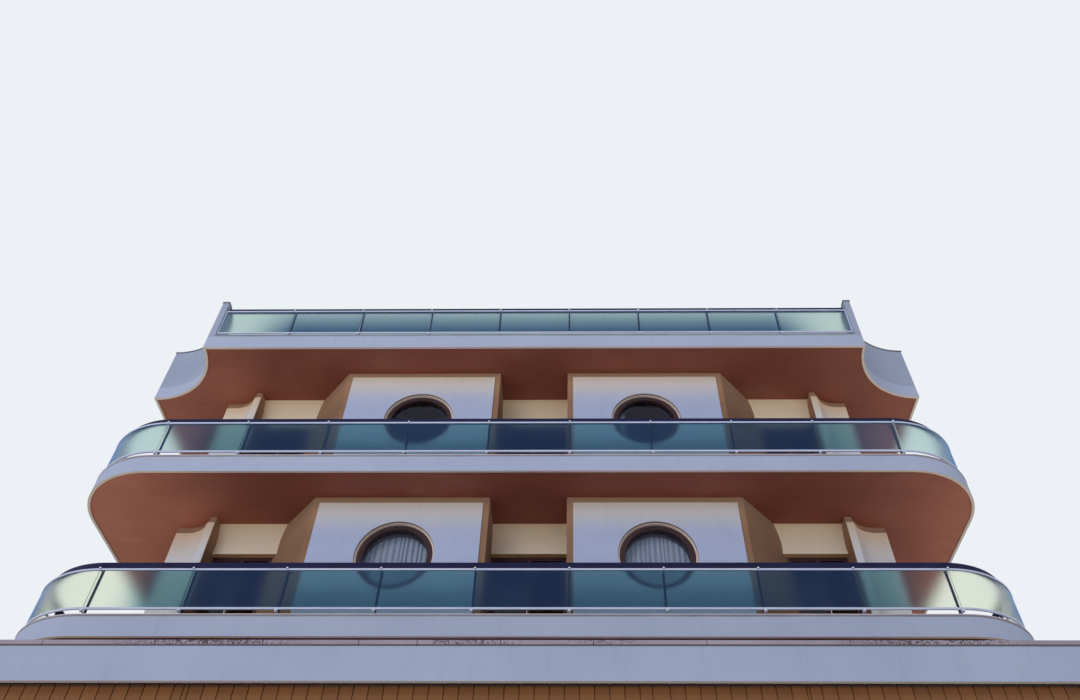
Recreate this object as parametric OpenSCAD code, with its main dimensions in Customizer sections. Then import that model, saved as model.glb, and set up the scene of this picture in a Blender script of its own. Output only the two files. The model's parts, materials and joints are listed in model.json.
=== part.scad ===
// Seaside apartment block: a boarded ground floor with a roof terrace, three storeys of
// round-windowed bays under wide balcony slabs, and a flat roof with scooped corners.
// Origin at the middle of the base. +Z is up and the front looks along -Y.

/* [Slabs] */
// Half the width of the balcony and roof slabs
slab_half_w = 7955; // [7600:5:8400]
// Half the depth of the balcony and roof slabs
slab_half_d = 6300; // [5600:50:7500]
// Thickness of a slab at its edge
slab_t = 310; // [250:5:400]
// Radius of the rounded slab corners and of the scooped roof corners
corner_r = 1420; // [1000:10:1500]
// Width of the drip edge round the underside of a slab
lip_w = 50; // [30:5:80]
// Depth of the drip edge below the bare slab
lip_drop = 24; // [16:1:40]
// Thickness of the painted soffit plaster
soffit_t = 12; // [6:1:14]
// Height of the kerb on a balcony edge
kerb_h = 40; // [20:5:80]
// Width of the kerb on a balcony edge
kerb_w = 260; // [240:10:320]

/* [Storeys] */
// Height of the terrace floor over the ground
terrace_z = 5465; // [4500:5:6000]
// Floor to floor height
storey_h = 3100; // [2900:10:3400]
// Height of the roof underside over the top floor
top_clear_h = 2860; // [2700:10:3200]
// Thickness of the side and back walls
wall_t = 300; // [200:10:400]
// Half the width between the outer faces of the side walls
wall_half_w = 6440; // [6400:5:6480]
// Distance of the corners of the walls behind the slab edge
wall_back = 1620; // [1600:5:1640]
// Distance behind the slab edge at which the bays and fins end
recess_end = 1900; // [1880:5:1960]

/* [Bays] */
// Distance of the bay front behind the slab edge
bay_front = 740; // [700:5:800]
// Half the width between the two bays
bay_inner = 675; // [600:5:750]
// Distance from the middle of the building to a bay's outer corner
bay_outer = 3757; // [3700:1:3800]
// Sideways run of the splayed flank for each unit of depth
splay_run = 0.86; // [0.75:0.01:0.9]
// Thickness of the bay walls
bay_t = 250; // [180:10:280]
// Thickness of the white render panels
panel_t = 25; // [10:1:40]
// Tan margin left at the sides of a render panel
panel_margin = 110; // [60:5:160]
// Tan band left under the soffit
band_h = 132; // [80:2:180]

/* [Round windows] */
// Distance from the middle of the building to a round window
port_x = 2190; // [2150:2:2280]
// Height of a round window's centre above the floor
port_z = 1600; // [1500:5:1700]
// Radius of the opening inside its lining
port_r = 644; // [500:2:660]
// Thickness of the cream lining
lining_t = 14; // [10:1:40]
// Distance of the lining's front behind the tan wall face
lining_set = 14; // [0:1:40]
// Width of the step between the edge of the render and the lining
port_step = 6; // [0:1:30]
// Width of the window's round frame
port_frame_w = 98; // [60:2:120]
// Distance of the frame behind the render
port_reveal = 72; // [70:2:140]

/* [Coved lintels] */
// Height of a lintel under the soffit
lintel_h = 580; // [480:5:640]
// Distance of a lintel's top edge behind the slab edge
lintel_top = 1500; // [1460:5:1540]
// Depth of the cove
cove_d = 122; // [80:2:140]
// Distance of the deepest line of the cove under the soffit
cove_low = 400; // [340:5:460]

/* [Corner fins] */
// Distance of the tip of a fin behind the slab edge
fin_tip = 1295; // [1250:5:1350]
// Distance from the middle of the building to a fin's inner side
fin_inner = 5650; // [5600:5:5700]
// Width of a fin's tip
fin_w = 120; // [90:5:150]
// Distance from the middle of the building to the axis of the scooped face
scoop_x = 6250; // [6220:5:6280]
// Radius of the scooped face
scoop_r = 520; // [500:5:540]

/* [Doors] */
// Distance of the door frames behind the slab edge
door_back = 1715; // [1680:5:1760]
// Depth of a door frame
frame_d = 60; // [40:5:80]
// Width of the bars of a door frame
frame_w = 66; // [40:2:90]
// Width of the doorways in the side walls
side_door_w = 1100; // [800:50:1600]
// Distance from the middle of a side wall to its doorways
side_door_y = 2200; // [1600:50:3000]

/* [Balustrades] */
// Glass panels along the front
front_panels = 9; // [5:1:12]
// Glass panels along a side
side_panels = 7; // [4:1:10]
// Thickness of the glass
glass_t = 12; // [8:1:20]
// Distance of the glass behind the slab edge
glass_inset = 44; // [30:2:60]
// Height of the lower trim over the floor
trim_low = 156; // [120:2:200]
// Height of the top of the upper trim over the floor
trim_high = 867; // [800:5:900]
// Height of a trim
trim_h = 33; // [20:1:50]
// Width of a trim
trim_w = 24; // [16:1:30]
// Gap between two panels
panel_gap = 8; // [6:2:30]
// Height of the top of the handrail over the floor
rail_top = 1040; // [1000:5:1150]
// Height of the handrail's section
rail_h = 118; // [60:2:130]
// Width of the handrail's section
rail_w = 60; // [40:2:80]
// Distance of the handrail behind the slab edge
rail_inset = 125; // [100:5:180]
// Joint between two lengths of handrail
rail_gap = 6; // [2:1:12]
// Width of a post
post_w = 30; // [20:2:60]
// Radius of the clamps that carry the trims
clamp_r = 16; // [8:1:20]

/* [Roof] */
// Height of the roof edge over the roof deck
roof_kerb_h = 55; // [30:5:80]
// Thickness of the roof parapets
parapet_t = 125; // [110:5:250]
// Height of the parapets over the roof underside
parapet_h = 1395; // [1200:5:1500]
// Thickness of the caps on the parapets
cap_t = 28; // [10:2:40]
// Overhang of the caps
cap_over = 12; // [4:1:30]

/* [Ground floor] */
// Half the width of the ground floor
base_half_w = 8600; // [8400:50:9500]
// Distance of the ground floor's front in front of the slab edge
base_forward = 3000; // [2000:50:4000]
// Thickness of the ground slab
base_t = 150; // [100:10:250]
// Height of the top of the boarded walls
base_wall_top = 6413; // [6200:1:6600]
// Height of the white band at the top of the walls
base_band_h = 392; // [300:2:500]
// Thickness of the white band
base_band_t = 62; // [40:2:90]
// Thickness of the coping
coping_t = 63; // [40:1:90]
// Overhang of the coping
coping_over = 8; // [4:1:30]
// Width of the joints between coping stones
joint_w = 8; // [4:1:15]
// Coping stones along a side
side_stones = 12; // [4:1:20]

/* [Hidden] */
$fn = 96;

STOREYS = [0, 1, 2];
SIDES = [-1, 1];
// Small overlap that keeps a cut clear of the face it starts from
cut = 1;

base_half_d = slab_half_d + base_forward;
lower_floor_z = terrace_z + storey_h;
upper_floor_z = lower_floor_z + storey_h;
roof_z = upper_floor_z + top_clear_h;
roof_deck_z = roof_z + slab_t;
soffit_rise = lip_drop - soffit_t;

// Colours of the finishes
WHITE = "#e9e8ea";
TAN = "#b78f63";
CREAM = "#dcc7a4";
TERRACOTTA = "#8d4b38";
BOARDS = "#8a5c3c";
DARK_WOOD = "#3a2424";
NAVY = "#23264a";
ALUMINIUM = "#e8ebee";
GLASS = [0.55, 0.75, 0.77, 0.6];
CLEAR = [0.25, 0.3, 0.36, 0.6];
CLOTH = "#e6e1d6";
GREY = "#8e8a84";

// Height of the floor of a storey
function floor_z(s) = terrace_z + s * storey_h;
// Height of the ceiling of a storey, at the painted soffit
function ceiling_z(s) = (s == 2 ? roof_z : floor_z(s + 1) - slab_t) + soffit_rise;
function clear_h(s) = ceiling_z(s) - floor_z(s);
// Place on the Y axis of something that lies a distance behind the front slab edge
function front(back) = back - slab_half_d;
function splay_x(back) = bay_outer + (back - bay_front) * splay_run;

function door_h(s) = clear_h(s) - lintel_h;
// The doorways beside the fins lie between the jamb of a bay and the fin's inner side
jamb_x = splay_x(door_back);
outer_door_w = fin_inner - jamb_x;
outer_door_x = (fin_inner + jamb_x) / 2;
DOORS = [[-outer_door_x, outer_door_w], [0, 2 * bay_inner], [outer_door_x, outer_door_w]];

// Extrudes a profile drawn as depth and height along the X axis
module along_x(x0, x1) {
    translate([x0, 0, 0])
        rotate([90, 0, 90])
            linear_extrude(x1 - x0)
                children();
}

module mirrored() {
    children();
    mirror([1, 0, 0])
        children();
}

// Disc or cylinder whose axis lies along Y, starting at y0 and running back
module disc(x, y0, z, r, depth) {
    translate([x, y0, z])
        rotate([-90, 0, 0])
            cylinder(r = r, h = depth);
}

// Outlines

module slab_outline(inset) {
    half_w = slab_half_w - inset;
    half_d = slab_half_d - inset;
    r = corner_r - inset;
    square([2 * half_w, 2 * (half_d - r)], center = true);
    square([2 * (half_w - r), 2 * half_d], center = true);
    for (sx = SIDES, sy = SIDES)
        translate([sx * (half_w - r), sy * (half_d - r)])
            circle(r);
}

module roof_outline(inset) {
    difference() {
        square([2 * (slab_half_w - inset), 2 * (slab_half_d - inset)], center = true);
        for (sx = SIDES, sy = SIDES)
            translate([sx * slab_half_w, sy * slab_half_d])
                circle(corner_r + inset);
    }
}

// Ground floor and terrace

module ground_box(inset, z0, z1) {
    translate([0, 0, z0])
        linear_extrude(z1 - z0)
            square([2 * (base_half_w - inset), 2 * (base_half_d - inset)], center = true);
}

// Openings of the ground floor: middle, width, sill height and head height
FRONT_HOLES = [[-5000, 3600, 600, 3150], [0, 3200, 0, 3150], [5000, 3600, 600, 3150]];
BACK_HOLES = [[-4600, 2400, 1300, 3150], [0, 1800, 0, 2400], [4600, 2400, 1300, 3150]];
SIDE_HOLES = [[-5600, 2400, 1300, 3150], [0, 2400, 1300, 3150], [5600, 2400, 1300, 3150]];

// Wall along X, centred, from its outer face at y0, with rectangular holes
module holed_wall(half_len, y0, thickness, z0, z1, holes, floor_level) {
    translate([0, y0 + thickness, 0])
        rotate([90, 0, 0])
            linear_extrude(thickness)
                difference() {
                    translate([-half_len, z0])
                        square([2 * half_len, z1 - z0]);
                    for (hole = holes)
                        translate([hole[0] - hole[1] / 2, floor_level + hole[2] - (hole[2] == 0 ? cut : 0)])
                            square([hole[1], hole[3] - hole[2] + (hole[2] == 0 ? cut : 0)]);
                }
}

module ground_floor() {
    color(GREY)
        ground_box(base_band_t, 0, base_t);
}

module ground_front_wall() {
    color(BOARDS)
        holed_wall(base_half_w - base_band_t, base_band_t - base_half_d, wall_t,
                   base_t, base_wall_top, FRONT_HOLES, base_t);
}

module ground_back_wall() {
    color(BOARDS)
        holed_wall(base_half_w - base_band_t, base_half_d - base_band_t - wall_t, wall_t,
                   base_t, base_wall_top, BACK_HOLES, base_t);
}

module ground_side_walls() {
    color(BOARDS)
        mirrored()
            rotate([0, 0, 90])
                holed_wall(base_half_d - base_band_t - wall_t, base_band_t - base_half_w, wall_t,
                           base_t, base_wall_top, SIDE_HOLES, base_t);
}

module ground_band() {
    color(WHITE)
        difference() {
            ground_box(0, base_wall_top - base_band_h, base_wall_top);
            ground_box(base_band_t, base_wall_top - base_band_h - cut, base_wall_top + cut);
        }
}

// Coping stones along X between the given joints, their outer edge on Y = 0
module coping_row(joints) {
    for (i = [0 : len(joints) - 2])
        translate([joints[i] + joint_w / 2, 0, base_wall_top])
            cube([joints[i + 1] - joints[i] - joint_w, coping_w, coping_t]);
}

// Joints of the coping along the front: the stones differ in length
coping_w = coping_over + base_band_t + wall_t + coping_over;
coping_half_w = base_half_w + coping_over;
COPING_JOINTS = [-7400, -6100, -4850, -3650, -2500, -1481, -861, 25, 1008, 2204, 3717, 5050, 6300, 7500];
coping_side_len = 2 * (base_half_d + coping_over - coping_w);
FRONT_JOINTS = concat([-coping_half_w], COPING_JOINTS, [coping_half_w]);
SIDE_JOINTS = [for (i = [0 : side_stones]) coping_side_len * (i / side_stones - 0.5)];

module ground_coping() {
    color(WHITE)
        for (turn = [0, 180])
            rotate([0, 0, turn]) {
                translate([0, -base_half_d - coping_over, 0])
                    coping_row(FRONT_JOINTS);
                rotate([0, 0, 90])
                    translate([0, -coping_half_w, 0])
                        coping_row(SIDE_JOINTS);
            }
}

module terrace_floor() {
    color(GREY)
        ground_box(base_band_t + wall_t, terrace_z - slab_t, terrace_z);
}

// Frame of a window or door in the XZ plane with two lights, and its depth behind it
module two_light_frame(w, h, depth) {
    light_w = (w - 3 * frame_w) / 2;
    rotate([90, 0, 0])
        translate([0, 0, -depth])
            linear_extrude(depth)
                difference() {
                    translate([-w / 2, 0])
                        square([w, h]);
                    for (side = SIDES)
                        translate([side * (light_w + frame_w) / 2 - light_w / 2, frame_w])
                            square([light_w, h - 2 * frame_w]);
                }
}

// Glass of one light of such a frame
module light_glass(w, h, side, depth) {
    light_w = (w - 3 * frame_w) / 2;
    translate([side * (light_w + frame_w) / 2 - light_w / 2, (depth - glass_t) / 2, frame_w])
        cube([light_w, glass_t, h - 2 * frame_w]);
}

// Puts a window's frame or glass in each hole of the ground floor
module in_ground_holes() {
    setback = base_band_t + wall_t / 2;
    for (hole = FRONT_HOLES)
        translate([hole[0], setback - base_half_d, base_t + hole[2]])
            hole_piece(hole);
    for (hole = BACK_HOLES)
        translate([hole[0], base_half_d - setback, base_t + hole[2]])
            rotate([0, 0, 180])
                hole_piece(hole);
    for (side = SIDES, hole = SIDE_HOLES)
        translate([side * (base_half_w - setback), hole[0], base_t + hole[2]])
            rotate([0, 0, side * 90])
                hole_piece(hole);
}

// A frame, or the panes when glazed is set, of one ground floor hole
module hole_piece(hole, glazed = $glazed) {
    w = hole[1];
    h = hole[3] - hole[2];
    if (glazed) {
        light_glass(w, h, -1, frame_d);
        if (hole[2] > 0)
            light_glass(w, h, 1, frame_d);
    } else {
        two_light_frame(w, h, frame_d);
    }
}

module ground_frames() {
    color(DARK_WOOD)
        let ($glazed = false)
            in_ground_holes();
}

module ground_glass() {
    color(CLEAR)
        let ($glazed = true)
            in_ground_holes();
}

// Storeys

// Outline of a bay: a straight front, a splayed flank and a short square jamb beside the door
module bay_outline(end) {
    polygon([
        [bay_inner, front(end)],
        [bay_inner, front(bay_front)],
        [bay_outer, front(bay_front)],
        [jamb_x, front(door_back)],
        [jamb_x, front(end)]
    ]);
}

module bay_plan() {
    inner_front = bay_front + bay_t;
    // Thickness of the splayed flank measured across the building
    flank_t = bay_t * sqrt(1 + splay_run * splay_run);
    difference() {
        bay_outline(recess_end);
        polygon([
            [splay_x(recess_end + cut) - flank_t, front(recess_end + cut)],
            [splay_x(inner_front) - flank_t, front(inner_front)],
            [bay_inner + bay_t, front(inner_front)],
            [bay_inner + bay_t, front(recess_end + cut)]
        ]);
    }
}

module storey_bays(s) {
    color(TAN)
        mirrored()
            difference() {
                translate([0, 0, floor_z(s)])
                    linear_extrude(clear_h(s))
                        bay_plan();
                disc(port_x, front(bay_front) - cut, floor_z(s) + port_z, port_r + lining_t, bay_t + 2 * cut);
            }
}

module render_panels() {
    color(WHITE)
        for (s = STOREYS)
            mirrored()
                difference() {
                    translate([bay_inner + panel_margin, front(bay_front) - panel_t, floor_z(s)])
                        cube([bay_outer - bay_inner - 2 * panel_margin, panel_t, clear_h(s) - band_h]);
                    disc(port_x, front(bay_front) - panel_t - cut, floor_z(s) + port_z,
                         port_r + lining_t + port_step, panel_t + 2 * cut);
                }
}

module storey_side_walls(s) {
    half_len = slab_half_d - recess_end;
    doors = [for (side = SIDES) [side * side_door_y, side_door_w, 0, door_h(s)]];
    color(TAN)
        mirrored()
            rotate([0, 0, 90])
                holed_wall(half_len, -wall_half_w, wall_t, floor_z(s), ceiling_z(s), doors, floor_z(s));
}

module storey_back_wall(s) {
    y0 = slab_half_d - recess_end;
    doors = [for (d = DOORS) [d[0], d[1], 0, door_h(s)]];
    color(TAN)
        difference() {
            holed_wall(wall_half_w, y0, recess_end - wall_back, floor_z(s), ceiling_z(s), doors, floor_z(s));
            for (side = SIDES)
                disc(side * port_x, y0 - cut, floor_z(s) + port_z, port_r + lining_t,
                     recess_end - wall_back + 2 * cut);
        }
}

module fin_plan() {
    difference() {
        polygon([
            [fin_inner, front(fin_tip)],
            [scoop_x, front(fin_tip)],
            [scoop_x, front(wall_back)],
            [wall_half_w, front(wall_back)],
            [wall_half_w, front(recess_end)],
            [fin_inner, front(recess_end)]
        ]);
        scoop(scoop_r);
    }
}

// Circle of the scooped face: it meets the tip's outer corner and runs into the wall face
module scoop(r) {
    translate([scoop_x, front(wall_back) - scoop_r])
        circle(r);
}

module corner_fins() {
    color(TAN)
        for (s = STOREYS)
            mirrored()
                translate([0, 0, floor_z(s)])
                    linear_extrude(clear_h(s))
                        fin_plan();
}

module fin_render_plan() {
    // The skin covers the tip, the scooped face and the wall face up to the corner
    difference() {
        union() {
            translate([fin_inner, front(fin_tip) - panel_t])
                square([fin_w, panel_t]);
            intersection() {
                translate([fin_inner, front(fin_tip) - panel_t])
                    square([scoop_x - fin_inner, wall_back - fin_tip + panel_t]);
                scoop(scoop_r);
            }
            translate([scoop_x, front(wall_back) - panel_t])
                square([wall_half_w - scoop_x, panel_t]);
        }
        scoop(scoop_r - panel_t);
        translate([fin_inner + fin_w, front(fin_tip) - panel_t - cut])
            square([scoop_x - fin_inner - fin_w, panel_t + cut]);
    }
}

module fin_render() {
    color(WHITE)
        for (s = STOREYS)
            mirrored()
                translate([0, 0, floor_z(s)])
                    linear_extrude(clear_h(s) - band_h)
                        fin_render_plan();
}

// Section of a coved lintel, as depth behind the slab edge and height over its foot
module lintel_section() {
    deepest = lintel_top + cove_d;
    cove_r = (cove_low * cove_low + cove_d * cove_d) / (2 * cove_d);
    difference() {
        translate([front(lintel_top), 0])
            square([recess_end - lintel_top, lintel_h]);
        translate([front(deepest) - cove_r, lintel_h - cove_low])
            circle(cove_r);
    }
}

module coved_lintels() {
    color(CREAM)
        for (s = STOREYS)
            translate([0, 0, ceiling_z(s) - lintel_h]) {
                along_x(-bay_inner, bay_inner)
                    lintel_section();
                mirrored()
                    difference() {
                        along_x(bay_outer, fin_inner)
                            lintel_section();
                        translate([0, 0, -cut])
                            linear_extrude(lintel_h + 2 * cut)
                                bay_outline(recess_end + cut);
                    }
            }
}

// Round windows: the same pieces stand in the front bays and in the back wall

module round_windows() {
    for (s = STOREYS, side = SIDES) {
        translate([side * port_x, front(bay_front) - panel_t, floor_z(s) + port_z])
            children();
        translate([side * port_x, -front(wall_back), floor_z(s) + port_z])
            rotate([0, 0, 180])
                children();
    }
}

module tube_along_y(outer_r, inner_r, y0, depth) {
    difference() {
        disc(0, y0, 0, outer_r, depth);
        disc(0, y0 - cut, 0, inner_r, depth + 2 * cut);
    }
}

// The frame fills the bore up to the inner face of the wall
port_frame_d = panel_t + bay_t - port_reveal;

module round_window_linings() {
    lining_front = panel_t + lining_set;
    color(CREAM)
        round_windows()
            tube_along_y(port_r + lining_t, port_r, lining_front, panel_t + bay_t - lining_front);
}

module round_window_frames() {
    color(DARK_WOOD)
        round_windows()
            tube_along_y(port_r, port_r - port_frame_w, port_reveal, port_frame_d);
}

module round_window_glass() {
    glass_set = 60;
    color(CLEAR)
        round_windows()
            disc(0, port_reveal + glass_set, 0, port_r - port_frame_w, glass_t);
}

// Plain panels where the curtains hang behind the round windows of the second storey
module curtains() {
    curtain_t = 60;
    curtain_half_w = 760;
    curtain_h = 2200;
    color(CLOTH)
        for (side = SIDES)
            translate([side * port_x - curtain_half_w, front(bay_front + bay_t), ceiling_z(1) - curtain_h])
                cube([2 * curtain_half_w, curtain_t, curtain_h]);
}

// Doors

module in_doorways() {
    for (s = STOREYS) {
        for (d = DOORS, turn = [0, 180])
            rotate([0, 0, turn])
                translate([d[0], front(door_back), floor_z(s)])
                    door_piece(d[1], door_h(s));
        for (side = SIDES, end = SIDES)
            translate([side * (wall_half_w - wall_t / 2), end * side_door_y, floor_z(s)])
                rotate([0, 0, side * 90])
                    door_piece(side_door_w, door_h(s));
    }
}

// The frame of a doorway, or its one glazed leaf when glazed is set: the other leaf is slid open
module door_piece(w, h, glazed = $glazed) {
    if (glazed)
        light_glass(w, h, -1, frame_d);
    else
        two_light_frame(w, h, frame_d);
}

module door_frames() {
    color(DARK_WOOD)
        let ($glazed = false)
            in_doorways();
}

module door_glass() {
    color(CLEAR)
        let ($glazed = true)
            in_doorways();
}

// Slabs

module slab_body(z) {
    translate([0, 0, z])
        difference() {
            linear_extrude(slab_t)
                slab_outline(0);
            translate([0, 0, -cut])
                linear_extrude(lip_drop + cut)
                    slab_outline(lip_w);
        }
}

module roof_slab() {
    color(WHITE)
        translate([0, 0, roof_z])
            difference() {
                linear_extrude(slab_t)
                    roof_outline(0);
                translate([0, 0, -cut])
                    linear_extrude(lip_drop + cut)
                        roof_outline(lip_w);
            }
}

module soffits() {
    color(TERRACOTTA) {
        for (floor_level = [lower_floor_z, upper_floor_z])
            translate([0, 0, floor_level - slab_t + soffit_rise])
                linear_extrude(soffit_t)
                    slab_outline(lip_w);
        translate([0, 0, roof_z + soffit_rise])
            linear_extrude(soffit_t)
                roof_outline(lip_w);
    }
}

module kerbs() {
    roof_kerb_w = 120;
    kerb_inset = 6;
    color(WHITE) {
        for (floor_level = [lower_floor_z, upper_floor_z])
            translate([0, 0, floor_level])
                linear_extrude(kerb_h)
                    difference() {
                        slab_outline(kerb_inset);
                        slab_outline(kerb_w);
                    }
        for (end = SIDES)
            translate([-pier_inner, end > 0 ? slab_half_d - roof_kerb_w : -slab_half_d, roof_deck_z])
                cube([2 * pier_inner, roof_kerb_w, roof_kerb_h]);
    }
}

// Roof parapets

// Distance from the middle of the building to the inner face of an end pier
pier_inner = slab_half_w - corner_r - parapet_t;

// Outline of the parapets, open between the end piers, grown all round by an overhang
module parapet_outline(over) {
    difference() {
        roof_outline(-over);
        roof_outline(parapet_t + over);
        square([2 * (pier_inner - over), 2 * (slab_half_d + over + cut)], center = true);
    }
}

module roof_parapets() {
    color(WHITE)
        translate([0, 0, roof_deck_z])
            linear_extrude(parapet_h - slab_t)
                parapet_outline(0);
}

module parapet_caps() {
    color(DARK_WOOD)
        translate([0, 0, roof_z + parapet_h])
            linear_extrude(cap_t)
                parapet_outline(cap_over);
}

// Balustrades
// A straight run lies along X with the slab edge on Y = 0 and the building behind it.

straight_w = 2 * (slab_half_w - corner_r);
straight_d = 2 * (slab_half_d - corner_r);

// Puts a run of the front, of a side, or of a corner where it belongs round the building
module on_fronts() {
    for (turn = [0, 180])
        rotate([0, 0, turn])
            translate([0, -slab_half_d, 0])
                children();
}

module on_sides() {
    for (turn = [90, 270])
        rotate([0, 0, turn])
            translate([0, -slab_half_w, 0])
                children();
}

module on_corners() {
    for (sx = SIDES, sy = SIDES)
        translate([sx * straight_w / 2, sy * straight_d / 2, 0])
            rotate([0, 0, sx > 0 ? (sy > 0 ? 0 : 270) : (sy > 0 ? 90 : 180)])
                children();
}

module straight_glass(length, panels) {
    pitch = length / panels;
    for (i = [0 : panels - 1])
        translate([i * pitch - length / 2 + panel_gap / 2, glass_inset, trim_low + trim_h])
            cube([pitch - panel_gap, glass_t, trim_high - trim_low - 2 * trim_h]);
}

// Quarter ring about Z between two radii, short of a full quarter by half a panel gap at each end
module quarter_ring(outer_r, inner_r, z0, z1, gap) {
    translate([0, 0, z0])
        linear_extrude(z1 - z0)
            intersection() {
                difference() {
                    circle(outer_r);
                    circle(inner_r);
                }
                translate([gap / 2, gap / 2])
                    square(outer_r + cut);
            }
}

module corner_glass() {
    outer_r = corner_r - glass_inset;
    color(GLASS)
        for (floor_level = [lower_floor_z, upper_floor_z])
            translate([0, 0, floor_level])
                on_corners()
                    quarter_ring(outer_r, outer_r - glass_t, trim_low + trim_h, trim_high - trim_h, panel_gap);
}

module balcony_glass(floor_level) {
    color(GLASS)
        translate([0, 0, floor_level]) {
            on_fronts()
                straight_glass(straight_w, front_panels);
            on_sides()
                straight_glass(straight_d, side_panels);
        }
}

module roof_glass() {
    color(GLASS)
        translate([0, 0, roof_deck_z])
            on_fronts()
                straight_glass(2 * (pier_inner - trim_w), front_panels);
}

trim_y = glass_inset + (glass_t - trim_w) / 2;

module straight_trims(length) {
    for (z = [trim_low, trim_high - trim_h])
        translate([-length / 2, trim_y, z])
            cube([length, trim_w, trim_h]);
}

module corner_trims() {
    outer_r = corner_r - trim_y;
    for (z = [trim_low, trim_high - trim_h])
        quarter_ring(outer_r, outer_r - trim_w, z, z + trim_h, 0);
}

// Clamps that reach from each post to the trims: the upper one ends in a knob over the top
// edge of its trim, the lower one in a block under its trim
module clamps(length, panels) {
    pitch = length / panels;
    knob = 10;
    block_w = 44;
    block_h = 40;
    for (i = [0 : panels])
        translate([i * pitch - length / 2, trim_y, 0]) {
            for (z = [trim_low - block_h / 2, trim_high])
                disc(0, -knob, z, clamp_r, rail_inset + post_set - trim_y + knob);
            translate([-block_w / 2, 0, trim_low - block_h])
                cube([block_w, trim_w, block_h]);
        }
}

// Upright channel that holds the glass at an end pier of the roof
module end_channel() {
    translate([-trim_w, trim_y, trim_low + trim_h])
        cube([trim_w, trim_w, trim_high - trim_low - 2 * trim_h]);
}

module balustrade_trims() {
    color(ALUMINIUM) {
        for (floor_level = [lower_floor_z, upper_floor_z])
            translate([0, 0, floor_level]) {
                on_fronts() {
                    straight_trims(straight_w);
                    clamps(straight_w, front_panels);
                }
                on_sides() {
                    straight_trims(straight_d);
                    clamps(straight_d, side_panels);
                }
                on_corners()
                    corner_trims();
            }
        translate([0, 0, roof_deck_z])
            on_fronts() {
                straight_trims(2 * pier_inner);
                clamps(roof_post_run, front_panels - 2);
                for (side = SIDES)
                    translate([side > 0 ? pier_inner : trim_w - pier_inner, 0, 0])
                        end_channel();
            }
    }
}

// Distance of a post's front face behind the handrail's front face
post_set = (rail_w - post_w) / 2;
// Length between the outermost posts of the roof: the end panels are held by the piers
roof_post_run = 2 * pier_inner * (front_panels - 2) / front_panels;

module posts(length, panels, foot) {
    pitch = length / panels;
    for (i = [0 : panels])
        translate([i * pitch - length / 2 - post_w / 2, rail_inset + post_set, foot])
            cube([post_w, post_w, rail_top - rail_h - foot]);
}

module balustrade_posts() {
    color(NAVY) {
        for (floor_level = [lower_floor_z, upper_floor_z])
            translate([0, 0, floor_level]) {
                on_fronts()
                    posts(straight_w, front_panels, kerb_h);
                on_sides()
                    posts(straight_d, side_panels, kerb_h);
            }
        translate([0, 0, roof_deck_z])
            on_fronts()
                posts(roof_post_run, front_panels - 2, 0);
    }
}

// Rounded section of the handrail, as distance behind the slab edge and height
module rail_section() {
    r = rail_w / 3;
    translate([rail_inset, rail_top - rail_h]) {
        translate([r, 0])
            square([rail_w - 2 * r, rail_h]);
        translate([0, r])
            square([rail_w, rail_h - 2 * r]);
        for (x = [r, rail_w - r], z = [r, rail_h - r])
            translate([x, z])
                circle(r);
    }
}

// Quarter turn of the handrail, short of the straight lengths by half a joint at each end
module corner_rail() {
    joint_angle = asin(rail_gap / 2 / corner_r);
    rotate([0, 0, joint_angle])
        rotate_extrude(angle = 90 - 2 * joint_angle)
            translate([corner_r, 0])
                mirror([1, 0])
                    rail_section();
}

module straight_rail(length) {
    along_x((rail_gap - length) / 2, (length - rail_gap) / 2)
        rail_section();
}

module handrails() {
    color(NAVY) {
        for (floor_level = [lower_floor_z, upper_floor_z])
            translate([0, 0, floor_level]) {
                on_fronts()
                    straight_rail(straight_w);
                on_sides()
                    straight_rail(straight_d);
                on_corners()
                    corner_rail();
            }
        translate([0, 0, roof_deck_z])
            on_fronts()
                straight_rail(2 * pier_inner + rail_gap);
    }
}

ground_floor();
ground_front_wall();
ground_side_walls();
ground_back_wall();
ground_band();
ground_coping();
ground_frames();
ground_glass();
terrace_floor();
storey_bays(0);  // first_storey_bays
storey_bays(1);  // second_storey_bays
storey_bays(2);  // third_storey_bays
storey_side_walls(0);  // first_storey_side_walls
storey_side_walls(1);  // second_storey_side_walls
storey_side_walls(2);  // third_storey_side_walls
storey_back_wall(0);  // first_storey_back_wall
storey_back_wall(1);  // second_storey_back_wall
storey_back_wall(2);  // third_storey_back_wall
render_panels();
corner_fins();
fin_render();
coved_lintels();
round_window_linings();
round_window_frames();
round_window_glass();
curtains();
door_frames();
door_glass();
color(WHITE) slab_body(lower_floor_z - slab_t);  // lower_balcony_slab
color(WHITE) slab_body(upper_floor_z - slab_t);  // upper_balcony_slab
roof_slab();
soffits();
kerbs();
balcony_glass(lower_floor_z);  // lower_balcony_glass
balcony_glass(upper_floor_z);  // upper_balcony_glass
roof_glass();
corner_glass();
balustrade_trims();
balustrade_posts();
handrails();
roof_parapets();
parapet_caps();
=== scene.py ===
"""Looks of the apartment block: finishes for the built parts, and the boards, tiles, mouldings,
curtains and fittings that they carry. Metres, +Z up, the front looks along -Y."""

import json
import math

import bmesh
import bpy
import numpy as np
from mathutils import Matrix, Vector


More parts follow.
